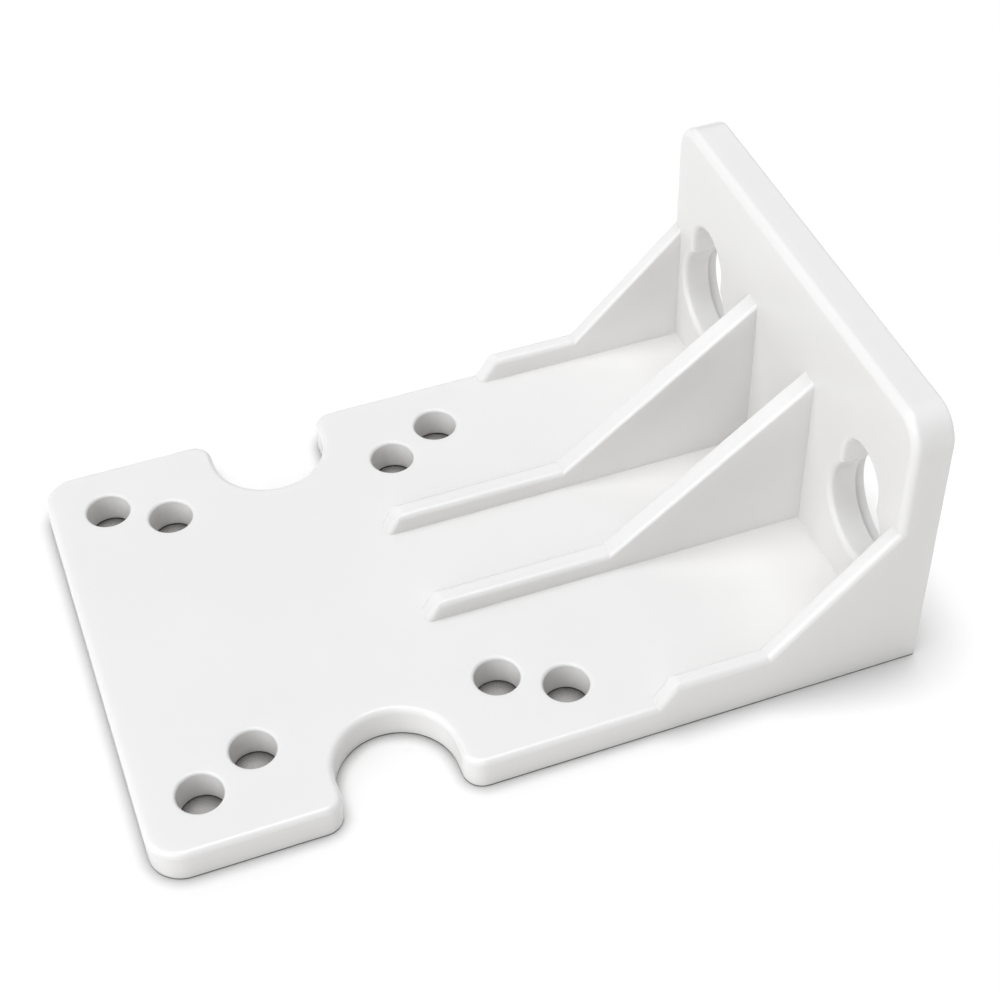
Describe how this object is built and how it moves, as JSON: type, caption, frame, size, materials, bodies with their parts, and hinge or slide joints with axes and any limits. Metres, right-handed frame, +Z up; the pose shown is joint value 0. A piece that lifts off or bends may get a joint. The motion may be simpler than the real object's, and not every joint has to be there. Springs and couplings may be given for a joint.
{
  "type": "filter housing bracket",
  "caption": "Moulded wall bracket: flat plate with side notches and screw holes, ribbed wall plate with keyholes.",
  "frame": {"origin": "middle of the bounding box's underside, on the plate's underside plane", "axes": "X across the width, +Y towards the wall plate and the wall, +Z up"},
  "size_m": [0.1, 0.149, 0.0615],
  "materials": {
    "shell": "soft gloss white"
  },
  "bodies": {
    "root": {"bracket": "shell"}
  },
  "joints": []
}
